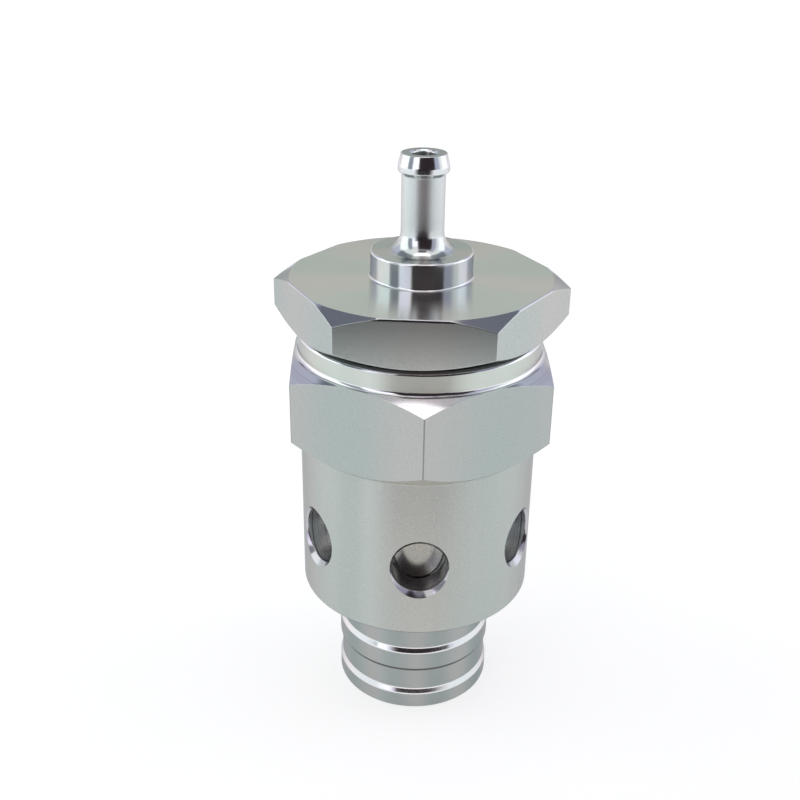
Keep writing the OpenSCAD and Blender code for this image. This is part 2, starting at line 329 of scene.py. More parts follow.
bpy.ops.object.select_all(action="DESELECT")
bpy.ops.mesh.primitive_plane_add(size=FLOOR_SIZE, location=(0, 0, -FLOOR_DROP))
floor = bpy.context.active_object
floor.name = "floor"
paper, sheet_tree = new_material("pale_paper")
matte = node(sheet_tree, "ShaderNodeBsdfDiffuse", Color=FLOOR_COLOUR)
floor_place = fill(sheet_tree, "ShaderNodeVectorMath", {"operation": "LENGTH"}, place_in(sheet_tree))
far_off = ease(sheet_tree, floor_place.outputs["Value"], FLOOR_NEAR, FLOOR_FAR)
glow_level = calc(sheet_tree, "MULTIPLY_ADD", far_off, 1 - FLOOR_GLOW, FLOOR_GLOW)
glow = node(sheet_tree, "ShaderNodeEmission", Strength=glow_level)
both = fill(sheet_tree, "ShaderNodeAddShader", None, matte.outputs[0], glow.outputs[0])
below = node(sheet_tree, "ShaderNodeNewGeometry").outputs["Backfacing"]
clear = node(sheet_tree, "ShaderNodeBsdfTransparent").outputs[0]
sheet = fill(sheet_tree, "ShaderNodeMixShader", None, below, both.outputs[0], clear)
node(sheet_tree, "ShaderNodeOutputMaterial", Surface=sheet.outputs[0])
floor.data.materials.append(paper)
print("floor", FLOOR_SIZE, "m wide")

# %% [markdown]
# The tent is open in front, where the room is dark: a low black card stands there, hidden from the camera.
# Upright faces mirror it, and get their dark middle. The card is a piece of a cylinder round the valve,
# clear at both ends and narrower at its foot. Lengths are in millimetres and bearings in degrees from the
# front.

# %% Dark card
CARD_R = 178
CARD_HIGH = 110
CARD_STEPS = 120
CARD_FROM = -36
CARD_TO = 34
CARD_FADE = 26
CARD_BLACK = (0.03, 0.025, 0.028, 1)
CARD_FOOT_SHARE = 0.72
CARD_FULL_AT = 26


def is_past_card(face):
    """A face of the cylinder that the card doesn't need."""
    centre = face.calc_center_median()
    bearing = math.degrees(math.atan2(centre.x, -centre.y))
    return not CARD_FROM - CARD_FADE < bearing < CARD_TO + CARD_FADE


bpy.ops.object.select_all(action="DESELECT")
bpy.ops.mesh.primitive_cylinder_add(
    vertices=CARD_STEPS,
    radius=CARD_R * MM,
    depth=CARD_HIGH * MM,
    end_fill_type="NOTHING",
    location=(0, 0, CARD_HIGH / 2 * MM),
)
card = bpy.context.active_object
card.name = "dark_card"
select_where(card, "FACE", is_past_card)
bpy.ops.mesh.delete(type="FACE")
bpy.ops.object.mode_set(mode="OBJECT")

black_paper, card_tree = new_material("black_paper")
card_matte = node(card_tree, "ShaderNodeBsdfDiffuse", Color=CARD_BLACK)
card_clear = node(card_tree, "ShaderNodeBsdfTransparent")
card_height = node(card_tree, "ShaderNodeSeparateXYZ", Vector=place_in(card_tree)).outputs["Z"]
card_opens = ease(card_tree, card_height, -CARD_HIGH / 2 * MM, (CARD_FULL_AT - CARD_HIGH / 2) * MM)
card_width = calc(card_tree, "MULTIPLY_ADD", card_opens, 1 - CARD_FOOT_SHARE, CARD_FOOT_SHARE)
card_bearing = calc(card_tree, "DIVIDE", bearing_of(card_tree), card_width)
card_share = between(card_tree, card_bearing, CARD_FROM, CARD_TO, CARD_FADE)
card_mix = fill(
    card_tree, "ShaderNodeMixShader", None, card_share, card_clear.outputs[0], card_matte.outputs[0]
)
node(card_tree, "ShaderNodeOutputMaterial", Surface=card_mix.outputs[0])
card.data.materials.append(black_paper)
card.visible_camera = False
print("dark card of", len(card.data.polygons), "faces")

# %% [markdown]
# ## Turning a piece
#
# Almost everything here was made on a lathe, and a lathe has a direct match in Blender: draw half of the
# section as a line, then spin it round the axis. The outline starts as one vertex, and each corner is
# extruded from the one before. A tool never leaves a perfect corner, so each corner gets its own small
# rounding, with a vertex bevel. That thin rounding is what catches the light along every edge.

# %% Lathe helpers
TURN_STEPS = 180
ROUND_STEPS = 4
MERGE = 0.00001 * MM
SAME_PLACE = 0.0005 * MM
SMOOTH_ANGLE = math.radians(25)


def pick_corner(piece, r, z):
    """Select the one outline vertex that lies at a place."""
    place = Vector((r * MM, 0, z * MM))
    select_where(piece, "VERT", lambda vertex: (vertex.co - place).length < SAME_PLACE)


def draw_outline(name, corners, closed):
    """Extrude an outline of (radius, height, rounding) corners in millimetres, left in edit mode."""
    bpy.ops.object.select_all(action="DESELECT")
    bpy.ops.mesh.primitive_plane_add(size=MM)
    piece = bpy.context.active_object
    piece.name = name
    piece.data.name = name
    bpy.ops.object.mode_set(mode="EDIT")
    bpy.ops.mesh.select_mode(type="VERT")
    bpy.ops.mesh.select_all(action="SELECT")
    bpy.ops.mesh.merge(type="CENTER")
    bpy.ops.transform.translate(value=(corners[0][0] * MM, 0, corners[0][1] * MM))
    route = corners + corners[:1] if closed else corners
    for here, there in zip(route, route[1:]):
        step = ((there[0] - here[0]) * MM, 0, (there[1] - here[1]) * MM)
        bpy.ops.mesh.extrude_region_move(TRANSFORM_OT_translate={"value": step})
    bpy.ops.mesh.select_all(action="SELECT")
    bpy.ops.mesh.remove_doubles(threshold=MERGE)
    for r, z, rounding in corners:
        if rounding:
            pick_corner(piece, r, z)
            bpy.ops.mesh.bevel(
                offset=rounding * MM,
                offset_type="OFFSET",
                segments=ROUND_STEPS,
                affect="VERTICES",
                clamp_overlap=False,
            )
    return piece


def turn(name, corners, closed=True, steps=TURN_STEPS):
    """Spin an outline round the axis into a closed, smooth piece."""
    piece = draw_outline(name, corners, closed)
    bpy.ops.mesh.select_all(action="SELECT")
    bpy.ops.mesh.spin(steps=steps, angle=2 * math.pi, center=(0, 0, 0), axis=(0, 0, 1))
    bpy.ops.mesh.select_all(action="SELECT")
    bpy.ops.mesh.remove_doubles(threshold=SAME_PLACE)
    bpy.ops.mesh.normals_make_consistent(inside=False)
    bpy.ops.object.mode_set(mode="OBJECT")
    return piece


def cut(piece, tool, operation):
    """Apply a Boolean with a tool, and delete the tool."""
    make_active(piece)
    modifier = piece.modifiers.new("cut", "BOOLEAN")
    modifier.operation = operation
    modifier.solver = "EXACT"
    modifier.object = tool
    bpy.ops.object.modifier_apply(modifier=modifier.name)
    bpy.data.objects.remove(tool)


def smooth(piece):
    """Shade the turned faces smooth and keep the milled edges sharp."""
    make_active(piece)
    bpy.ops.object.shade_smooth_by_angle(angle=SMOOTH_ANGLE)
    modifier = piece.modifiers.new("true_faces", "WEIGHTED_NORMAL")
    modifier.keep_sharp = True
    bpy.ops.object.modifier_apply(modifier=modifier.name)


def report(piece):
    """Print how large a finished piece is."""
    size = [round(side / MM, 2) for side in piece.dimensions]
    print(piece.name, len(piece.data.polygons), "faces, size", size, "mm")


print("a full turn has", TURN_STEPS, "steps")

# %% [markdown]
# ## The hexagon bar
#
# Body and cap are cut from hexagon bar: on the lathe the corners are turned away where the piece is round,
# and the flats that are left meet the turned cones in curved edges. Here the blank is spun wider than the
# bar, and a Boolean keeps what lies in the bar. The bar's own upright corners are bevelled first, because
# drawn bar never has knife edges.

# %% Bar
HEX_SIDES = 6
BAR_ROUNDING = 0.12
BAR_ROUND_STEPS = 2


def corner_radius(across_flats):
    """How far the corners of a bar lie from its axis."""
    return across_flats / 2 / math.cos(math.pi / HEX_SIDES)


def hexagon_bar(across_flats, low, high, turned):
    """An upright hexagon bar with slightly rounded corners, turned by an angle in degrees."""
    bpy.ops.object.select_all(action="DESELECT")
    bpy.ops.mesh.primitive_cylinder_add(
        vertices=HEX_SIDES,
        radius=corner_radius(across_flats) * MM,
        depth=(high - low) * MM,
        location=(0, 0, (low + high) / 2 * MM),
        rotation=(0, 0, math.radians(turned)),
    )
    bar = bpy.context.active_object
    bpy.ops.object.transform_apply(location=True, rotation=True, scale=True)
    tall = (high - low) / 2 * MM
    select_where(bar, "EDGE", lambda edge: abs(edge.verts[0].co.z - edge.verts[1].co.z) > tall)
    bpy.ops.mesh.bevel(offset=BAR_ROUNDING * MM, segments=BAR_ROUND_STEPS, affect="EDGES")
    bpy.ops.object.mode_set(mode="OBJECT")
    return bar


print("bar has", HEX_SIDES, "sides")

# %% [markdown]
# ## The body
#
# The body is the largest piece: a spigot with two hose barbs, a drum, a hexagon between two cones, and a
# collar. Inside are the inlet, the shoulder that the piston closes on, the cylinder and the mouth for the
# cap. These could be modelled one by one and joined, but the real body is one piece, and so is this one: a
# single closed outline, from the end face up the outside and down the inside.

# %% Body blank
BARB_R = 12.5
NECK_R = 12.15
INLET_R = 10
INLET_CHAMFER = 0.5
SPIGOT_EDGE = 0.25
LOWER_BARB_TOP = 2.8
UPPER_BARB_FOOT = 7.7
# height of the strip under the upper barb that is painted as shade; an outline corner ends it
PAINTED_SHADE_STRIP = 0.38
UPPER_BARB_TOP = 11
BARB_TAPER = 0.82
DRUM_R = 18.4
DRUM_EDGE = 0.3
DRUM_FOOT = 19.5
HEX_FOOT = 45.5
LEDGE = 59.45
COLLAR_R = 18.55
COLLAR_FILLET = 0.6
COLLAR_TOP = 63.05
COLLAR_CHAMFER = 0.5
UNDER_SLOPE = math.tan(math.radians(39))
OVER_SLOPE = math.tan(math.radians(31))
BLANK_R = 22.6
SEAT = 22
BORE_R = 14
LEAD_IN = 0.4
MOUTH_FLOOR = 54
THREAD_R = 16
MOUTH_CHAMFER = 1.63
SHARP = 0
TIGHT = 0.05
CRISP = 0.08
EASED = 0.1
SOFT = 0.15
ROUND = 0.2
BARB_FOOT_ROUNDING = 0.28
FILLET_ROUNDING = 0.58

LEDGE_R = COLLAR_R + COLLAR_FILLET
body_corners = [
    # radius, height, rounding
    (INLET_R + INLET_CHAMFER, 0, CRISP),
    (BARB_R - SPIGOT_EDGE, 0, CRISP),
    (BARB_R, SPIGOT_EDGE, SOFT),
    (BARB_R, LOWER_BARB_TOP, EASED),
    (NECK_R, LOWER_BARB_TOP + BARB_TAPER, EASED),
    (NECK_R, UPPER_BARB_FOOT - PAINTED_SHADE_STRIP, SHARP),
    (NECK_R, UPPER_BARB_FOOT, TIGHT),
    (BARB_R, UPPER_BARB_FOOT, BARB_FOOT_ROUNDING),
    (BARB_R, UPPER_BARB_TOP, EASED),
    (NECK_R, UPPER_BARB_TOP + BARB_TAPER, EASED),
    (NECK_R, DRUM_FOOT, SOFT),
    (DRUM_R - DRUM_EDGE, DRUM_FOOT, CRISP),
    (DRUM_R, DRUM_FOOT + DRUM_EDGE, ROUND),
    (DRUM_R, HEX_FOOT, SOFT),
    (BLANK_R, HEX_FOOT + (BLANK_R - DRUM_R) * UNDER_SLOPE, SHARP),
    (BLANK_R, LEDGE - (BLANK_R - LEDGE_R) * OVER_SLOPE, SHARP),
    (LEDGE_R, LEDGE, SHARP),
    (COLLAR_R, LEDGE, FILLET_ROUNDING),
    (COLLAR_R, COLLAR_TOP - COLLAR_CHAMFER, CRISP),
    (COLLAR_R - COLLAR_CHAMFER, COLLAR_TOP, CRISP),
    (THREAD_R + MOUTH_CHAMFER, COLLAR_TOP, TIGHT),
    (THREAD_R, COLLAR_TOP - MOUTH_CHAMFER, TIGHT),
    (THREAD_R, MOUTH_FLOOR, TIGHT),
    (BORE_R + LEAD_IN, MOUTH_FLOOR, TIGHT),
    (BORE_R, MOUTH_FLOOR - LEAD_IN, TIGHT),
    (BORE_R, SEAT, TIGHT),
    (INLET_R, SEAT, SOFT),
    (INLET_R, INLET_CHAMFER, EASED),
]
body = turn("valve_body", body_corners)
report(body)

# %% [markdown]
# The blank now goes through the bar: what stands out past the six flats is cut off, and the cones above and
# below end in curved edges on each flat.

# %% Body flats
BODY_FLATS = 38.2
BAR_OVERRUN = 2

cut(body, hexagon_bar(BODY_FLATS, -BAR_OVERRUN, COLLAR_TOP + BAR_OVERRUN, 0), "INTERSECT")
report(body)

# %% [markdown]
# ## The vents
#
# Six holes are drilled through the drum and countersunk. The mouth of each follows the round drum, so its
# rim rises and falls. Inside, a deburring tool has broken the edge towards the cylinder; later that edge is
# painted near black, as painted shade for the dark gap line beside the piston. One cutter is turned with the
# drill, the countersink and the broken edge in its outline. Copies of it are laid on their side, set at six
# angles round the axis, and taken away from the body.

# %% Vents
VENT_COUNT = 6
VENT_R = 4.2
VENT_MOUTH_R = 5
VENT_HEIGHT = 31
DRILL_START = 8
DRILL_REACH = 20.4
VENT_STEPS = 72
DEBURR = 0.17

countersink_start = DRUM_R - (VENT_MOUTH_R - VENT_R)
drill_corners = [
    (0, DRILL_START, SHARP),
    (VENT_R + DEBURR, DRILL_START, SHARP),
    (VENT_R + DEBURR, BORE_R, SHARP),
    (VENT_R, BORE_R + DEBURR, TIGHT),
    (VENT_R, countersink_start, EASED),
    (VENT_R + DRILL_REACH - countersink_start, DRILL_REACH, SHARP),
    (0, DRILL_REACH, SHARP),
]
drill = turn("drill", drill_corners, closed=False, steps=VENT_STEPS)
lay_down = Matrix.Rotation(math.pi / 2, 4, "X")
for index in range(VENT_COUNT):
    make_active(drill)
    bpy.ops.object.duplicate()
    cutter = bpy.context.active_object
    around = Matrix.Rotation(2 * math.pi * index / VENT_COUNT, 4, "Z")
    cutter.matrix_world = around @ Matrix.Translation((0, 0, VENT_HEIGHT * MM)) @ lay_down
    bpy.ops.object.transform_apply(location=True, rotation=True, scale=True)
    cut(body, cutter, "DIFFERENCE")
bpy.data.objects.remove(drill)
smooth(body)
report(body)

# %% [markdown]
# ## The cap
#
# The cap screws into the body. It is turned from the same bar: a threaded skirt below, a hexagon flange
# with a chamfer on both sides, then a boss that flares into the vacuum nipple. The flare is an arc that
# touches the stem and meets the top of the boss at an angle, so its points come from the circle.

# %% Cap
SKIRT_R = 15.95
SKIRT_INNER_R = 12.45
SKIRT_END = 54.3
RELIEF_R = 15.25
RELIEF_LENGTH = 2
FLANGE = 63.4
FLANGE_TOP = 70.9
CAP_UNDER_R = 18.8
CAP_TOP_R = 19.55
CAP_UNDER_SLOPE = math.tan(math.radians(32))
CAP_OVER_SLOPE = math.tan(math.radians(29.5))
CAP_BLANK_R = 22.7
BOSS_R = 7.6
BOSS_TOP = 74.75
BOSS_FILLET = 0.3
BOSS_EDGE = 0.2
FLARE_R = 3
FLARE_HEIGHT = 2.85
FLARE_STEPS = 14
STEM_R = 3.175
BEAD_FOOT = 85.85
BEAD_R = 3.725
BEAD_LOW = 86.4
BEAD_HIGH = 87.2
RIM_R = 3.3
NIPPLE_TOP = 88.9
NIPPLE_BORE_R = 1.8
NIPPLE_CHAMFER = 0.3
POCKET_ROOF = 66.5
POCKET_R = 10.5
FINE = 0.06
BEAD_ROUNDING = 0.12
BEAD_TOP_ROUNDING = 0.14


def flare():
    """The arc from the top of the boss up to the stem."""
    centre_r = STEM_R + FLARE_R
    centre_z = BOSS_TOP + FLARE_HEIGHT
    foot = math.asin(FLARE_HEIGHT / FLARE_R)
    angles = [foot * (1 - step / FLARE_STEPS) for step in range(FLARE_STEPS + 1)]
    return [(centre_r - FLARE_R * math.cos(a), centre_z - FLARE_R * math.sin(a), SHARP) for a in angles]


cap_corners = [
    (SKIRT_INNER_R, SKIRT_END, TIGHT),
    (SKIRT_R - LEAD_IN, SKIRT_END, TIGHT),
    (SKIRT_R, SKIRT_END + LEAD_IN, TIGHT),
    (SKIRT_R, FLANGE - RELIEF_LENGTH, TIGHT),
    (RELIEF_R, FLANGE - RELIEF_LENGTH + SKIRT_R - RELIEF_R, TIGHT),
    (RELIEF_R, FLANGE, EASED),
    (CAP_UNDER_R, FLANGE, FINE),
    (CAP_BLANK_R, FLANGE + (CAP_BLANK_R - CAP_UNDER_R) * CAP_UNDER_SLOPE, SHARP),
    (CAP_BLANK_R, FLANGE_TOP - (CAP_BLANK_R - CAP_TOP_R) * CAP_OVER_SLOPE, SHARP),
    (CAP_TOP_R, FLANGE_TOP, SHARP),
    (BOSS_R, FLANGE_TOP, BOSS_FILLET),
    (BOSS_R, BOSS_TOP - BOSS_EDGE, FINE),
    (BOSS_R - BOSS_EDGE, BOSS_TOP, FINE),
    *flare(),
    (STEM_R, BEAD_FOOT, EASED),
    (BEAD_R, BEAD_LOW, BEAD_ROUNDING),
    (BEAD_R, BEAD_HIGH, BEAD_TOP_ROUNDING),
    (RIM_R, NIPPLE_TOP, BEAD_ROUNDING),
    (NIPPLE_BORE_R + NIPPLE_CHAMFER, NIPPLE_TOP, FINE),
    (NIPPLE_BORE_R, NIPPLE_TOP - NIPPLE_CHAMFER, FINE),
    (NIPPLE_BORE_R, POCKET_ROOF, EASED),
    (POCKET_R, POCKET_ROOF, EASED),
    (POCKET_R, FLANGE, EASED),
    (SKIRT_INNER_R, FLANGE, EASED),
]
cap = turn("screw_cap", cap_corners)
report(cap)

# %% [markdown]
# The cap goes through its bar in the same way, turned a little, because the thread stops where it stops.
# The edge between each flat and the top was broken with a file, and shows a white and a black line. A bevel
# on the finished cap would run into the thin ends of the chamfers, so the top of the bar gets two sloped
# insets, and the Boolean hands them on. A round core on the bar keeps the boss and the nipple, which stand
# above it.

# %% Cap flats
CAP_FLATS = 38.4
FLAT_TO_FRONT = 30
CAP_TURN = -4.5
RIM_STEPS = [(0.09, 0.22), (0.13, 0.09)]  # inward and up, from the flat to the top
RIM_ABOVE = 0.005
FACES_UP = 0.99
CORE_R = 12

bar_top = FLANGE_TOP + RIM_ABOVE - sum(rise for inward, rise in RIM_STEPS)
cap_bar = hexagon_bar(CAP_FLATS, SKIRT_END - BAR_OVERRUN, bar_top, FLAT_TO_FRONT + CAP_TURN)
select_where(cap_bar, "FACE", lambda face: face.normal.z > FACES_UP)
for inward, rise in RIM_STEPS:
    bpy.ops.mesh.inset(thickness=inward * MM, depth=rise * MM)
bpy.ops.object.mode_set(mode="OBJECT")
bpy.ops.object.select_all(action="DESELECT")
bpy.ops.mesh.primitive_cylinder_add(
    vertices=TURN_STEPS,
    radius=CORE_R * MM,
    depth=(NIPPLE_TOP - FLANGE + BAR_OVERRUN) * MM,
    location=(0, 0, (NIPPLE_TOP + FLANGE + BAR_OVERRUN) / 2 * MM),
)
core = bpy.context.active_object
bpy.ops.object.transform_apply(location=True, rotation=True, scale=True)
cut(cap_bar, core, "UNION")
cut(cap, cap_bar, "INTERSECT")
smooth(cap)
report(cap)

# %% [markdown]
# ## What is inside
#
# The piston is a turned cup that runs in the cylinder, and its wall shows behind the vents. One ring seal
# sits in a groove near its top, another in its foot. A washer and a coil spring sit between the piston and
# the cap. The floor of the piston reaches the axis, so its outline starts and ends there.

# %% Piston
PISTON_FOOT = 22.3
PISTON_TOP = 41
PISTON_R = 13.95
PISTON_FLOOR = 26.3
CUP_R = 10.5
PISTON_EDGE = 0.4
GROOVE_LOW = 37.2
GROOVE_HIGH = 39.6
GROOVE_R = 11.9
SEAT_GROOVE_INNER = 10.9
SEAT_GROOVE_OUTER = 13.1
SEAT_GROOVE_ROOF = 23.9
CUP_FILLET = 0.3

piston_corners = [
    (0, PISTON_FOOT, SHARP),
    (SEAT_GROOVE_INNER, PISTON_FOOT, TIGHT),
    (SEAT_GROOVE_INNER, SEAT_GROOVE_ROOF, TIGHT),
    (SEAT_GROOVE_OUTER, SEAT_GROOVE_ROOF, TIGHT),
    (SEAT_GROOVE_OUTER, PISTON_FOOT, TIGHT),
    (PISTON_R - PISTON_EDGE, PISTON_FOOT, CRISP),
    (PISTON_R, PISTON_FOOT + PISTON_EDGE, CRISP),
    (PISTON_R, GROOVE_LOW, FINE),
    (GROOVE_R, GROOVE_LOW, EASED),
    (GROOVE_R, GROOVE_HIGH, EASED),
    (PISTON_R, GROOVE_HIGH, FINE),
    (PISTON_R, PISTON_TOP - PISTON_EDGE, CRISP),
    (PISTON_R - PISTON_EDGE, PISTON_TOP, CRISP),
    (CUP_R + PISTON_EDGE, PISTON_TOP, CRISP),
    (CUP_R, PISTON_TOP - PISTON_EDGE, CRISP),
    (CUP_R, PISTON_FLOOR, CUP_FILLET),
    (0, PISTON_FLOOR, SHARP),
]
piston = turn("sliding_piston", piston_corners, closed=False)
smooth(piston)
report(piston)

# %% [markdown]
# A moulded ring seal is round in section, with a hair-thin seam left where the two halves of the mould met,
# inside and outside. A torus primitive has no seam, so the ring is spun from a circle with two points
# pushed out. The washer is stamped: each face has a rolled edge on one side and a sharp one on the other.

# %% Seals and washer
SEAL_POINTS = 24
SEAL_SEAM = 0.015
SEALS = [
    # name, mean radius, section, height
    ("piston_seal", 12.95, 2, 38.4),
    ("seat_seal", 12, 1.8, 22.95),
    ("cap_seal", 16.05, 1.5, 62.6),
]


def ring_seal(name, mean_r, section, height):
    """A ring seal with its mould seam, from its mean radius, section and height."""
    points = []
    for index in range(SEAL_POINTS):
        angle = 2 * math.pi * index / SEAL_POINTS
        reach = section / 2 + (SEAL_SEAM if index % (SEAL_POINTS // 2) == 0 else 0)
        points.append((mean_r + reach * math.cos(angle), height + reach * math.sin(angle), SHARP))
    seal = turn(name, points)
    smooth(seal)
    report(seal)
    return seal


piston_seal, seat_seal, cap_seal = [ring_seal(*seal) for seal in SEALS]

WASHER_LOW = 65.47
WASHER_HIGH = 66.47
WASHER_INNER = 6
WASHER_OUTER = 10.47
STAMPED_EDGE = 0.03
ROLLED_EDGE = 0.2
washer_corners = [
    (WASHER_INNER, WASHER_LOW, STAMPED_EDGE),
    (WASHER_OUTER, WASHER_LOW, ROLLED_EDGE),
    (WASHER_OUTER, WASHER_HIGH, STAMPED_EDGE),
    (WASHER_INNER, WASHER_HIGH, ROLLED_EDGE),
]
washer = turn("spring_washer", washer_corners)
smooth(washer)
report(washer)

# %% [markdown]
# The spring is wound from round wire, closed for one turn at each end and ground flat there. The Screw
# modifier winds a circle into a coil of even pitch. The end turns are then let down by moving the rings of
# vertices in code, and two bisect cuts grind the ends.

# %% Spring
WIRE_R = 0.8
WIRE_SIDES = 16
COIL_R = 9
COIL_TURNS = 9
COIL_STEPS = 40
SPRING_LOW = 26.33
SPRING_HIGH = 65.44
GROUND_SHARE = 0.35
END_PITCH = 1.7

coil_rise = SPRING_HIGH - SPRING_LOW - 2 * GROUND_SHARE * 2 * WIRE_R
open_pitch = (coil_rise - 2 * END_PITCH) / (COIL_TURNS - 2)


def wire_height(turns):
    """How high the wire has climbed after a number of turns."""
    closed_turns = min(turns, 1) + max(0, turns - (COIL_TURNS - 1))
    open_turns = max(0, min(turns, COIL_TURNS - 1) - 1)
    return closed_turns * END_PITCH + open_turns * open_pitch


bpy.ops.object.select_all(action="DESELECT")
bpy.ops.mesh.primitive_circle_add(
    vertices=WIRE_SIDES,
    radius=WIRE_R * MM,
    location=(COIL_R * MM, 0, (SPRING_LOW + GROUND_SHARE * 2 * WIRE_R) * MM),
    rotation=(math.pi / 2, 0, 0),
)
spring = bpy.context.active_object
spring.name = "coil_spring"
spring.data.name = "coil_spring"
bpy.ops.object.transform_apply(location=True, rotation=True, scale=True)
winding = spring.modifiers.new("winding", "SCREW")
winding.steps = COIL_STEPS
winding.render_steps = COIL_STEPS
winding.iterations = COIL_TURNS
winding.screw_offset = END_PITCH * MM
bpy.ops.object.modifier_apply(modifier=winding.name)
for vertex in spring.data.vertices:
    turns = (vertex.index // WIRE_SIDES) / COIL_STEPS
    vertex.co.z += (wire_height(turns) - turns * END_PITCH) * MM
bpy.ops.object.mode_set(mode="EDIT")
bpy.ops.mesh.select_all(action="SELECT")
bpy.ops.mesh.fill_holes(sides=WIRE_SIDES)
for level, upper in ((SPRING_LOW, False), (SPRING_HIGH, True)):
    bpy.ops.mesh.select_all(action="SELECT")
    bpy.ops.mesh.bisect(
        plane_co=(0, 0, level * MM),
        plane_no=(0, 0, 1),
        use_fill=True,
        clear_inner=not upper,
        clear_outer=upper,
    )
bpy.ops.mesh.select_all(action="SELECT")
bpy.ops.mesh.normals_make_consistent(inside=False)
bpy.ops.object.mode_set(mode="OBJECT")
smooth(spring)
report(spring)

# %% [markdown]
# ## Effects that the finishes share
#
# Tool rings, grain and bands of tone show on most of the finishes. Each of these could be drawn anew in every
# material, but as a node group it is built once, and every finish uses it with its own values.

# %% Group helpers
def new_group(name, inputs, outputs):
    """A shader node group with named inputs and outputs, and its start and end nodes."""
    group = bpy.data.node_groups.new(name, "ShaderNodeTree")
    for label, kind in inputs:
        group.interface.new_socket(label, in_out="INPUT", socket_type=kind)
    for label, kind in outputs:
        group.interface.new_socket(label, in_out="OUTPUT", socket_type=kind)
    return group, group.nodes.new("NodeGroupInput"), group.nodes.new("NodeGroupOutput")


def use_group(tree, group, **inputs):
    """A node that applies a group at the shaded point."""
    return node(tree, "ShaderNodeGroup", {"node_tree": group}, Vector=place_in(tree), **inputs)


print("group helpers ready")

# %% [markdown]
# A turned face carries the fine path of the tool: rings about the axis, at the feed of the lathe. A Wave
# texture would make them all alike. Noise that is read only by the distance from the axis and by the height
# gives rings of uneven depth, on any turned face.

# %% Tool rings
VALUE = "NodeSocketFloat"
VECTOR = "NodeSocketVector"
PER_METRE = 1 / MM
RING_DETAIL = 2.0

rings, start, end = new_group(
    "tool_rings", [("Vector", VECTOR), ("Feed", VALUE), ("Height Share", VALUE)], [("Rings", VALUE)]
)
flat_place = fill(
    rings, "ShaderNodeVectorMath", {"operation": "MULTIPLY"}, start.outputs["Vector"], (1, 1, 0)
)
radius = fill(rings, "ShaderNodeVectorMath", {"operation": "LENGTH"}, flat_place.outputs[0])
height = node(rings, "ShaderNodeSeparateXYZ", Vector=start.outputs["Vector"]).outputs["Z"]
per_feed = calc(rings, "DIVIDE", PER_METRE, start.outputs["Feed"])
outward = calc(rings, "MULTIPLY", radius.outputs["Value"], per_feed)
upward = calc(rings, "MULTIPLY", calc(rings, "MULTIPLY", height, start.outputs["Height Share"]), per_feed)
ring_place = node(rings, "ShaderNodeCombineXYZ", X=outward, Y=upward)
ring_noise = node(
    rings,
    "ShaderNodeTexNoise",
    {"noise_dimensions": "2D"},
    Vector=ring_place.outputs[0],
    Scale=1.0,
    Detail=RING_DETAIL,
)
plug(rings, end.inputs["Rings"], ring_noise.outputs["Fac"])
print("group", rings.name, "takes its feed in millimetres")

# %% [markdown]
# Bright metal has a fine grain and a few tiny pits. The grain is plain noise. A Voronoi texture has one spot
# in each of its cells, and only the few cells with a high random value keep theirs as a pit.

# %% Grain and pits
PIT_SHARE = 0.045
PIT_RARITY = 0.9
GRAIN_DETAIL = 3.0

grain, start, end = new_group(
    "grain_and_pits",
    [("Vector", VECTOR), ("Grain Size", VALUE), ("Pit Spacing", VALUE)],
    [("Grain", VALUE), ("Pits", VALUE)],
)
per_grain = calc(grain, "DIVIDE", PER_METRE, start.outputs["Grain Size"])
grain_noise = node(
    grain, "ShaderNodeTexNoise", Vector=start.outputs["Vector"], Scale=per_grain, Detail=GRAIN_DETAIL
)
per_pit = calc(grain, "DIVIDE", PER_METRE, start.outputs["Pit Spacing"])
pit_cells = node(grain, "ShaderNodeTexVoronoi", Vector=start.outputs["Vector"], Scale=per_pit)
pit_dots = calc(grain, "SUBTRACT", 1.0, ease(grain, pit_cells.outputs["Distance"], PIT_SHARE / 2, PIT_SHARE))
pit_lot = node(grain, "ShaderNodeSeparateColor", Color=pit_cells.outputs["Color"]).outputs["Red"]
pits = calc(grain, "MULTIPLY", pit_dots, calc(grain, "GREATER_THAN", pit_lot, PIT_RARITY))
plug(grain, end.inputs["Grain"], grain_noise.outputs["Fac"])
plug(grain, end.inputs["Pits"], pits)
print("group", grain.name, "takes its sizes in millimetres")

# %% [markdown]
# Bar has faint bands of tone along its length, some a little warm and some a little cool. A wave by the angle
# round the axis makes them, and noise that changes faster round the axis than along it makes them uneven. A
# colour ramp turns the result into a tint. The noise is the metal's own uneven tone, but the wave is counted
# from the front: its warm band in front and the darker bands beside it are painted reflection.

# %% Bands of tone
COLOUR = "NodeSocketColor"
BAND_NOISE_SCALE = 3.2
BAND_NOISE_RISE = 18
BAND_NOISE_DETAIL = 1.5
BAND_WAVE_SHARE = 0.6
HALF = 0.5
TINTS = [
    # place on the ramp, tint
    (0.25, (0.955, 1.0, 0.99, 1)),
    (0.5, (1.0, 1.0, 0.99, 1)),
    (0.8, (1.06, 1.0, 0.985, 1)),
]

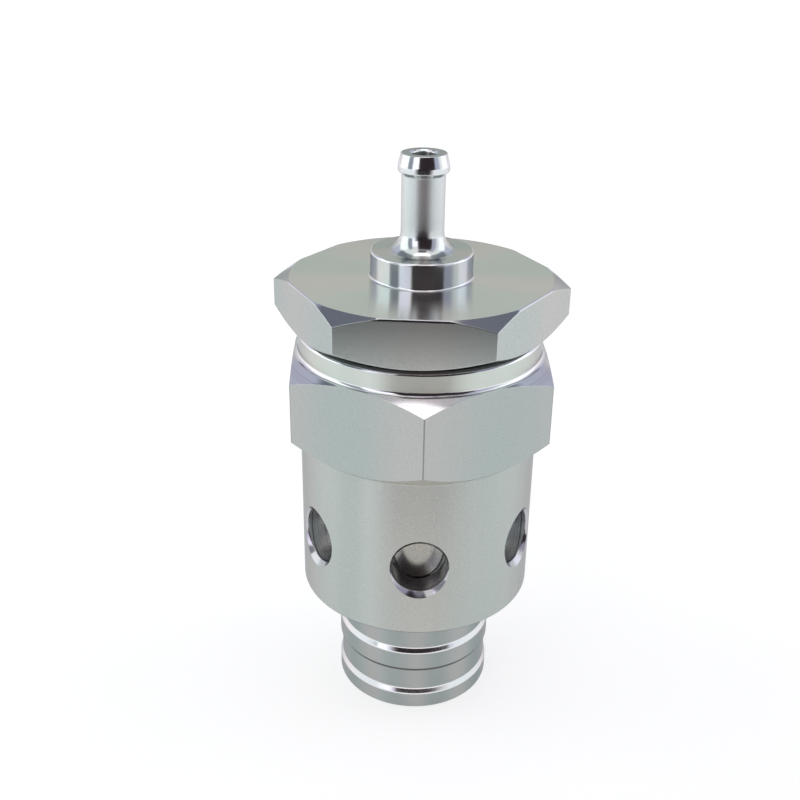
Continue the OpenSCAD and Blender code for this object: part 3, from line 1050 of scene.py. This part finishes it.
bands, start, end = new_group(
    "tone_and_reflection_bands", [("Vector", VECTOR), ("Count", VALUE)], [("Tint", COLOUR), ("Shade", VALUE)]
)
place = node(bands, "ShaderNodeSeparateXYZ", Vector=start.outputs["Vector"])
bearing = calc(bands, "ARCTAN2", place.outputs["X"], calc(bands, "MULTIPLY", place.outputs["Y"], -1.0))
swing = calc(bands, "COSINE", calc(bands, "MULTIPLY", bearing, start.outputs["Count"]))
wave = calc(bands, "MULTIPLY_ADD", swing, HALF, HALF)
around = node(
    bands,
    "ShaderNodeCombineXYZ",
    X=calc(bands, "SINE", bearing),
    Y=calc(bands, "COSINE", bearing),
    Z=calc(bands, "MULTIPLY", place.outputs["Z"], BAND_NOISE_RISE),
)
band_noise = node(
    bands,
    "ShaderNodeTexNoise",
    Vector=around.outputs[0],
    Scale=BAND_NOISE_SCALE,
    Detail=BAND_NOISE_DETAIL,
)
uneven = calc(bands, "MULTIPLY", band_noise.outputs["Fac"], 1 - BAND_WAVE_SHARE)
shade = calc(bands, "MULTIPLY_ADD", wave, BAND_WAVE_SHARE, uneven)
ramp = node(bands, "ShaderNodeValToRGB", Fac=shade)
while len(ramp.color_ramp.elements) < len(TINTS):
    ramp.color_ramp.elements.new(HALF)
for element, (position, tint) in zip(ramp.color_ramp.elements, TINTS):
    element.position = position
    element.color = tint
plug(bands, end.inputs["Tint"], ramp.outputs["Color"])
plug(bands, end.inputs["Shade"], shade)
print("group", bands.name)

# %% [markdown]
# ## The metal finishes
#
# One function builds every metal finish. The rings of a turned face blur a reflection across them but not
# along them, so the shader is anisotropic, with its tangent taken round the axis. At a low angle worked
# metal goes darker than a perfect mirror would, which the tint for grazing light gives. Where a finish asks
# for it, a Bevel node rounds the edges that the Booleans left sharp, so that they catch a thin line of
# light.

# %% Metal
ACROSS_RINGS = 0.25
EDGE_SAMPLES = 6
PIT_COLOUR = (0.06, 0.06, 0.06, 1)
PIT_SPACING = 2.6
UNEVEN_ROUGHNESS = 0.06
NOISE_MIDDLE = 0.5
GRAZING_TINT = (0.6, 0.61, 0.64, 1)


def metal(
    name,
    colour,
    roughness,
    anisotropy=0.0,
    feed=0.2,
    height_share=1.0,
    ring_depth=0.0,
    grain_size=0.4,
    grain_depth=0.0,
    pit_shade=0.3,
    grain_shade=0.05,
    ring_shade=0.0,
    band_count=5,
    band_depth=0.05,
    edge=0.0,
    polish=None,
    grazing=GRAZING_TINT,
):
    """A machined metal: its colour and roughness, then what the tools left. Lengths are in millimetres."""
    made, tree = new_material(name)
    place = place_in(tree)
    band = use_group(tree, bands, Count=band_count)
    speck = use_group(tree, grain, Grain_Size=grain_size, Pit_Spacing=PIT_SPACING)
    path = use_group(tree, rings, Feed=feed, Height_Share=height_share)

    tinted = mix_colour(tree, 1.0, (*colour, 1), band.outputs["Tint"], "MULTIPLY")
    # The bands darken the colour a little: partly the metal's own tone, partly painted reflection.
    dim = calc(tree, "MULTIPLY", calc(tree, "SUBTRACT", 1.0, band.outputs["Shade"]), band_depth)
    patchy = calc(tree, "SUBTRACT", speck.outputs["Grain"], NOISE_MIDDLE)
    dim = calc(tree, "MULTIPLY_ADD", patchy, grain_shade, dim)
    streaky = calc(tree, "SUBTRACT", path.outputs["Rings"], NOISE_MIDDLE)
    dim = calc(tree, "MULTIPLY_ADD", streaky, ring_shade, dim)
    banded = mix_colour(tree, dim, tinted, PIT_COLOUR)
    pitted = mix_colour(tree, calc(tree, "MULTIPLY", speck.outputs["Pits"], pit_shade), banded, PIT_COLOUR)
    rough = calc(tree, "MULTIPLY_ADD", patchy, UNEVEN_ROUGHNESS, roughness)
    if polish:
        polished_to, satin_from, polished_roughness = polish
        height = node(tree, "ShaderNodeSeparateXYZ", Vector=place).outputs["Z"]
        satin = ease(tree, height, polished_to * MM, satin_from * MM)
        rougher = calc(tree, "SUBTRACT", rough, polished_roughness)
        rough = calc(tree, "MULTIPLY_ADD", satin, rougher, polished_roughness)

    ring_relief = calc(tree, "MULTIPLY", path.outputs["Rings"], ring_depth)
    relief = calc(tree, "MULTIPLY_ADD", speck.outputs["Grain"], grain_depth, ring_relief)
    bump = node(tree, "ShaderNodeBump", Distance=MM, Height=relief)
    if edge:
        soft_edge = node(tree, "ShaderNodeBevel", {"samples": EDGE_SAMPLES}, Radius=edge * MM)
        plug(tree, bump.inputs["Normal"], soft_edge.outputs["Normal"])
    shader = node(
        tree,
        "ShaderNodeBsdfPrincipled",
        Base_Color=pitted,
        Metallic=1.0,
        Specular_Tint=grazing,
        Roughness=rough,
        Anisotropic=anisotropy,
        Anisotropic_Rotation=ACROSS_RINGS,
        Normal=bump.outputs["Normal"],
    )
    if anisotropy:
        round_axis = fill(tree, "ShaderNodeVectorMath", {"operation": "CROSS_PRODUCT"}, (0, 0, 1), place)
        plug(tree, shader.inputs["Tangent"], round_axis.outputs[0])
    node(tree, "ShaderNodeOutputMaterial", Surface=shader.outputs[0])
    return made


print("metal ready")

# %% [markdown]
# The lathe leaves satin walls with fine rings, and mirror-bright chamfers where a form tool was plunged.
# The stem is softer than the rest, and its flare is polished, so the roughness eases over between
# two heights. Each finish has a name, a colour, a roughness and, for turned faces, an anisotropy; then come
# the feed, the depth and the shade of its rings, which say how coarse the cut was.

# %% Finishes from the lathe
# Painted shade: grazing reflections go near black, for the shadowed gap under the cap.
GRAZING_PAINTED_SHADE = (0.04, 0.04, 0.045, 1)
POLISHED_TO = 76.8
SATIN_FROM = 79.2
POLISHED_ROUGHNESS = 0.15
WALL = {"anisotropy": 0.95, "ring_depth": 0.0002, "pit_shade": 0.0}
FACING_CUT = {"roughness": 0.18, "anisotropy": 0.98, "ring_depth": 0.0005, "edge": 0.16}
PLUNGE_CUT = {"roughness": 0.1, "anisotropy": 0.5, "feed": 0.35, "ring_depth": 0.0008, "edge": 0.16}

turned_satin = metal("turned_satin", (0.515, 0.545, 0.52), 0.28, **WALL)
# Painted light: a lighter copy of the turned satin, for the collar.
collar_painted_light_satin = metal("collar_painted_light_satin", (0.64, 0.675, 0.63), 0.2, **WALL)
faced_satin = metal("faced_satin", (0.73, 0.755, 0.715), **FACING_CUT)
# Painted shade: a darker copy of the faced finish, for the top of the boss and the foot of the flare.
boss_painted_shade_satin = metal("boss_painted_shade_satin", (0.61, 0.635, 0.605), **FACING_CUT)
tool_bright = metal("tool_bright", (0.84, 0.85, 0.87), **PLUNGE_CUT)
# Painted shade: a darker copy of the plunge-cut finish, for the chamfers of the cap.
chamfer_painted_shade_bright = metal("chamfer_painted_shade_bright", (0.62, 0.625, 0.645), **PLUNGE_CUT)
shoulder_bright = metal(
    "shoulder_bright", (0.63, 0.635, 0.65), 0.1, 0.5, feed=0.5, ring_depth=0.0015, ring_shade=1.0, edge=0.12
)
# Painted shade: the spigot is drawn darker than the drum, for the shadowed floor it mirrors.
spigot_painted_shade_satin = metal(
    "spigot_painted_shade_satin",
    (0.435, 0.47, 0.465),
    0.3,
    0.9,
    feed=0.25,
    ring_depth=0.0005,
    # painted reflection: deep bands stand for dark streaks in the spigot's reflection
    band_count=10,
    band_depth=0.25,
)
stem_polish = (POLISHED_TO, SATIN_FROM, POLISHED_ROUGHNESS)
stem_satin = metal("stem_satin", (0.71, 0.74, 0.745), 0.4, ring_depth=0.0004, polish=stem_polish)
# Painted shade: the cone under the cap goes near black at grazing angles.
under_cone_painted_shade_bright = metal("under_cone_painted_shade_bright", (0.7, 0.71, 0.73), 0.12, 0.5, ring_depth=0.0008, grazing=GRAZING_PAINTED_SHADE)
cone_bright = metal("cone_bright", (0.68, 0.7, 0.64), 0.2, 0.5, ring_depth=0.0005, grazing=WHITE)
nipple_bright = metal("nipple_bright", (0.78, 0.8, 0.82), 0.15, 0.5, ring_depth=0.0005)
bored_wall = metal("bored_wall", (0.5, 0.52, 0.51), 0.3, 0.7, ring_depth=0.0006)
piston_turned = metal(
    "piston_turned", (0.37, 0.38, 0.345), 0.18, 0.5, ring_depth=0.0006, grain_size=0.24, grain_shade=1.8
)
print("the lathe left", [made.name for made in bpy.data.materials if made.name.endswith(("satin", "bright"))])

# %% [markdown]
# The flats are drawn bar, with a fine grain; their upright corners are drawn darker, a painted reflection
# of the dark front that the rounded corners mirror. The drill and the countersink leave coarse rings. The
# near-black and dark grey metals at the end are painted shade, for gaps, grooves and undersides in shadow.

# %% Finishes from the bar, the drill and the press
bar_flat = metal("bar_flat", (0.445, 0.485, 0.475), 0.27, pit_shade=0.0)
# Painted reflection: the rounded upright corners are drawn darker, for the dark front they mirror.
painted_dark_corner = metal("painted_dark_corner", (0.27, 0.28, 0.29), 0.3, pit_shade=0.0)
cap_flat = metal(
    "cap_flat", (0.57, 0.605, 0.585), 0.22, grain_size=0.3, grain_depth=0.0002, grain_shade=0.4, edge=0.2
)
# Painted shade: the countersinks are drawn darker than the other bright tool cuts.
countersunk = metal(
    "countersunk", (0.5, 0.52, 0.55), 0.14, feed=0.3, height_share=0.0, ring_depth=0.003, ring_shade=0.8
)
# Painted light: drawn near white, lighter than the bored wall, so the vents read lighter inside.
drilled_wall_painted_light = metal(
    "drilled_wall_painted_light",
    (0.92, 0.96, 1.0),
    0.3,
    feed=0.4,
    height_share=0.0,
    ring_depth=0.01,
    ring_shade=3.6,
    grazing=WHITE,
)
# Near-black metal: painted shade for the vent burr, the drum foot and the underside of the cap.
painted_shade_edge = metal("painted_shade_edge", (0.08, 0.083, 0.078), 0.5, pit_shade=0.0)
# Dark grey metal: painted shade for the strip under the upper barb.
painted_shade_line = metal("painted_shade_line", (0.14, 0.145, 0.13), 0.45, pit_shade=0.0)
spring_wire = metal("spring_wire", (0.42, 0.43, 0.44), 0.25)
stamped_steel = metal("stamped_steel", (0.5, 0.51, 0.52), 0.3, grain_depth=0.0008)
print("materials so far:", len(bpy.data.materials))

# %% [markdown]
# ## The rubber
#
# The ring seals are moulded from black rubber: never quite black, a little uneven, matt with a soft shine.
# One plain colour would look like a hole, so the grain mixes two dark greys and lifts the surface a little.

# %% Rubber
RUBBER_DARK = (0.012, 0.012, 0.013, 1)
RUBBER_GREY = (0.03, 0.03, 0.031, 1)
RUBBER_ROUGHNESS = 0.45
RUBBER_GRAIN = 0.5
RUBBER_RELIEF = 0.02
RUBBER_PITS = 1.5

rubber, rubber_tree = new_material("seal_rubber_black")
rubber_speck = use_group(rubber_tree, grain, Grain_Size=RUBBER_GRAIN, Pit_Spacing=RUBBER_PITS)
rubber_colour = mix_colour(rubber_tree, rubber_speck.outputs["Grain"], RUBBER_DARK, RUBBER_GREY)
rubber_bump = node(
    rubber_tree, "ShaderNodeBump", Distance=RUBBER_RELIEF * MM, Height=rubber_speck.outputs["Grain"]
)
rubber_shader = node(
    rubber_tree,
    "ShaderNodeBsdfPrincipled",
    Base_Color=rubber_colour,
    Roughness=RUBBER_ROUGHNESS,
    Normal=rubber_bump.outputs[0],
)
node(rubber_tree, "ShaderNodeOutputMaterial", Surface=rubber_shader.outputs[0])
print("rubber ready")

# %% [markdown]
# ## Which tool made which face
#
# On the real valve each face shows the tool that made it: satin where the lathe took long cuts,
# mirror-bright where a form tool plunged the chamfers, grained where the drawn bar was left alone. The
# faces are picked by their place and the way they face, and each group gets its own material slot.

# %% Finish picker
class Spot:
    """Where a face lies, in millimetres, and the way it faces."""

    def __init__(self, face):
        centre = face.calc_center_median() / MM
        self.r = math.hypot(centre.x, centre.y)
        self.z = centre.z
        self.up = face.normal.z
        self.out = face.normal.dot(Vector((centre.x, centre.y, 0)).normalized())
        step = 2 * math.pi / VENT_COUNT
        bearing = math.atan2(centre.x, -centre.y)
        vent = round(bearing / step) * step
        self.from_vent = math.hypot(self.r * math.sin(bearing - vent), self.z - VENT_HEIGHT)
        self.along_vent = face.normal.dot(Vector((math.sin(vent), -math.cos(vent), 0)))


def finish_faces(piece, material, wanted):
    """Give a finish to the faces that pass a test."""
    piece.data.materials.append(material)
    piece.active_material_index = len(piece.data.materials) - 1
    make_active(piece)
    count = select_where(piece, "FACE", lambda face: wanted(Spot(face)))
    bpy.ops.object.material_slot_assign()
    bpy.ops.object.mode_set(mode="OBJECT")
    print(material.name, "on", count, "faces of", piece.name)


print("finish picker ready")

# %% Tests for faces
UPRIGHT = 0.02
LEVEL = 0.99
NEAR = 0.15


def everywhere(spot):
    """Every face."""
    return True


def is_flat(spot, across_flats, low, high):
    """A flat of the bar between two heights."""
    return low < spot.z < high and spot.r > across_flats / 2 - NEAR and abs(spot.up) < UPRIGHT


def is_sloped(spot):
    """Neither upright nor level."""
    return UPRIGHT < abs(spot.up) < LEVEL


print("tests allow", NEAR, "mm")

# %% [markdown]
# The whole body first gets the satin of the lathe. Each line after that gives another finish to some of the
# faces, so where two tests agree on a face, the later one wins.

# %% Finishes of the body
ASIDE = 0.15
CLEAR = 1
BARB_SHELF = 12.2

corner_r = corner_radius(BODY_FLATS)
finish_faces(body, turned_satin, everywhere)
# Painted shade: the spigot gets its darker satin.
finish_faces(body, spigot_painted_shade_satin, lambda s: s.z < DRUM_FOOT and s.r < DRUM_R - CLEAR)
finish_faces(body, bored_wall, lambda s: s.r < THREAD_R + MOUTH_CHAMFER and s.out < -ASIDE)
finish_faces(body, bar_flat, lambda s: is_flat(s, BODY_FLATS, HEX_FOOT, LEDGE))
# Painted reflection: the upright corners of the flats are darker.
finish_faces(body, painted_dark_corner, lambda s: is_flat(s, BODY_FLATS, HEX_FOOT, LEDGE) and s.r > corner_r - NEAR)
finish_faces(
    body, tool_bright, lambda s: s.r > NECK_R - NEAR and s.z < BARB_SHELF and is_sloped(s) and s.up > 0
)
finish_faces(
    body, tool_bright, lambda s: s.z > HEX_FOOT and s.r > COLLAR_R - COLLAR_CHAMFER and is_sloped(s)
)
finish_faces(body, cone_bright, lambda s: HEX_FOOT < s.z < LEDGE and s.r > DRUM_R and s.up < -UPRIGHT)
# Painted light: the collar gets the lighter copy of the turned satin.
finish_faces(body, collar_painted_light_satin, lambda s: s.z > LEDGE and s.r > COLLAR_R - NEAR and abs(s.up) < UPRIGHT)
finish_faces(
    body, shoulder_bright, lambda s: HEX_FOOT < s.z < LEDGE and s.r > LEDGE_R - NEAR and s.up > UPRIGHT
)

# %% [markdown]
# A vent shows two tools, the drill and the countersink. They are told apart by how far a face turns along
# the axis of its vent: not at all on the drilled wall, halfway on the countersink.

# %% Finishes of the vents
COUNTERSINK_OUT = 0.93


def is_drilled(spot):
    """The wall of a vent."""
    return spot.from_vent < VENT_R + NEAR and spot.r > BORE_R - CLEAR and abs(spot.along_vent) < ASIDE


def is_countersunk(spot):
    """The sloped mouth of a vent."""
    in_mouth = spot.from_vent < VENT_MOUTH_R + NEAR and spot.r > BORE_R
    return in_mouth and ASIDE < spot.along_vent < COUNTERSINK_OUT


# Painted light: the lighter drilled finish inside the vents.
finish_faces(body, drilled_wall_painted_light, is_drilled)
# Painted shade: the darker countersink finish.
finish_faces(body, countersunk, is_countersunk)

# %% [markdown]
# Three edges of the body are painted dark, as painted shade: the deburred inner edge of each vent, for the
# dark gap beside the piston, the foot of the upper barb with a strip of the neck under it, and the lower edge
# of the drum.

# %% Dark edges of the body
UNDERSIDE = -0.15
STEEP_UNDERSIDE = -0.5


def is_vent_burr(spot):
    """The broken edge between a vent and the cylinder."""
    at_bore = BORE_R - CLEAR < spot.r < BORE_R + DEBURR
    faces_in = -COUNTERSINK_OUT < spot.along_vent < -ASIDE
    return spot.from_vent < VENT_R + DEBURR and at_bore and faces_in


def is_barb_foot(spot):
    """The foot of the upper barb, and the strip of the neck right under it, painted as shade."""
    at_foot = abs(spot.z - UPPER_BARB_FOOT) < PAINTED_SHADE_STRIP and spot.r > NECK_R - NEAR
    return at_foot and (spot.up < UNDERSIDE or spot.z < UPPER_BARB_FOOT)


def is_drum_foot(spot):
    """The lower part of the rounding under the drum."""
    at_edge = abs(spot.z - DRUM_FOOT) < DRUM_EDGE and spot.r > DRUM_R - DRUM_EDGE
    return at_edge and spot.up < STEEP_UNDERSIDE


# Painted shade: near black on the vent burr here and on the drum foot two lines below.
finish_faces(body, painted_shade_edge, is_vent_burr)
# Painted shade: dark grey at the foot of the upper barb.
finish_faces(body, painted_shade_line, is_barb_foot)
finish_faces(body, painted_shade_edge, is_drum_foot)

# %% [markdown]
# On the cap, the flats and the chamfers come from the bar and the form tool, the top and the boss were
# faced, and the nipple was turned bright. The flat underside lies in the narrow gap above the body, and is
# painted near black as painted shade.

# %% Finishes of the cap
FLARE_FOOT_UP = 0.82


def is_boss_wall(spot):
    """The wall of the boss, with its edge and its fillet."""
    at_wall = BOSS_R - BOSS_EDGE - NEAR < spot.r < BOSS_R + BOSS_FILLET
    return at_wall and spot.z > FLANGE_TOP - NEAR and spot.up < LEVEL


def is_flare_foot(spot):
    """The lowest part of the flare, almost level."""
    return spot.z > BOSS_TOP and spot.r < STEM_R + FLARE_R and FLARE_FOOT_UP <= spot.up < LEVEL


def is_stem(spot):
    """The stem and the steep part of the flare."""
    return BOSS_TOP < spot.z < BEAD_FOOT and spot.r > STEM_R - NEAR and spot.up < FLARE_FOOT_UP


finish_faces(cap, turned_satin, everywhere)
finish_faces(cap, cap_flat, lambda s: is_flat(s, CAP_FLATS, FLANGE, FLANGE_TOP))
# Painted shade: the cap's chamfers get the darker copy.
finish_faces(cap, chamfer_painted_shade_bright, lambda s: s.r > CAP_UNDER_R - NEAR and is_sloped(s))
# Painted shade: the cone under the cap.
finish_faces(cap, under_cone_painted_shade_bright, lambda s: s.r > CAP_UNDER_R - NEAR and -LEVEL < s.up < -UPRIGHT)
# Painted shade: the flat underside of the cap, in the gap, is near black.
finish_faces(cap, painted_shade_edge, lambda s: s.z > SKIRT_END + RELIEF_LENGTH and s.r > RELIEF_R and s.up < -LEVEL)
finish_faces(cap, faced_satin, lambda s: s.up > LEVEL and s.r > STEM_R)
# Painted shade: the darker copy of the faced finish on the boss top and, below, on the flare foot.
finish_faces(cap, boss_painted_shade_satin, lambda s: s.up > LEVEL and s.r > STEM_R and s.z > BOSS_TOP - NEAR)
finish_faces(cap, tool_bright, is_boss_wall)
finish_faces(cap, boss_painted_shade_satin, is_flare_foot)
finish_faces(cap, nipple_bright, lambda s: s.z > BEAD_FOOT and s.up < LEVEL)
finish_faces(cap, stem_satin, is_stem)

# %% [markdown]
# The piston, the seals, the washer and the spring are each of one finish all over.

# %% Finishes of the small pieces
for piece, material in (
    (piston, piston_turned),
    (piston_seal, rubber),
    (seat_seal, rubber),
    (cap_seal, rubber),
    (washer, stamped_steel),
    (spring, spring_wire),
):
    finish_faces(piece, material, everywhere)

# %% [markdown]
# ## Joining the frame
#
# Each piece rides the body that carries it in the imported model, stands for its node there, and names the
# slot that its finish belongs to. The spring is held at the cap.

# %% Bodies and slots
CARRIED = [
    (body, "housing", "body", "machined_aluminium"),
    (cap, "housing", "cap", "machined_aluminium"),
    (cap_seal, "housing", "cap_o_ring", "seal_rubber"),
    (washer, "housing", "spring_shim", "shim_steel"),
    (spring, "housing", "return_spring", "spring_steel"),
    (piston, "piston_group", "piston", "piston_aluminium"),
    (piston_seal, "piston_group", "piston_o_ring", "seal_rubber"),
    (seat_seal, "piston_group", "seat_o_ring", "seal_rubber"),
]
for piece, carrier, node_name, slot_name in CARRIED:
    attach(piece, carrier)
    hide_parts(node_name)
    print(piece.name, "rides", carrier, "for", node_name)

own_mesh(spring)

# %% [markdown]
# ## Finish
#
# The view transform is plain, so that a colour comes out as it was written.

# %% Finish
bpy.context.scene.view_settings.view_transform = "Standard"
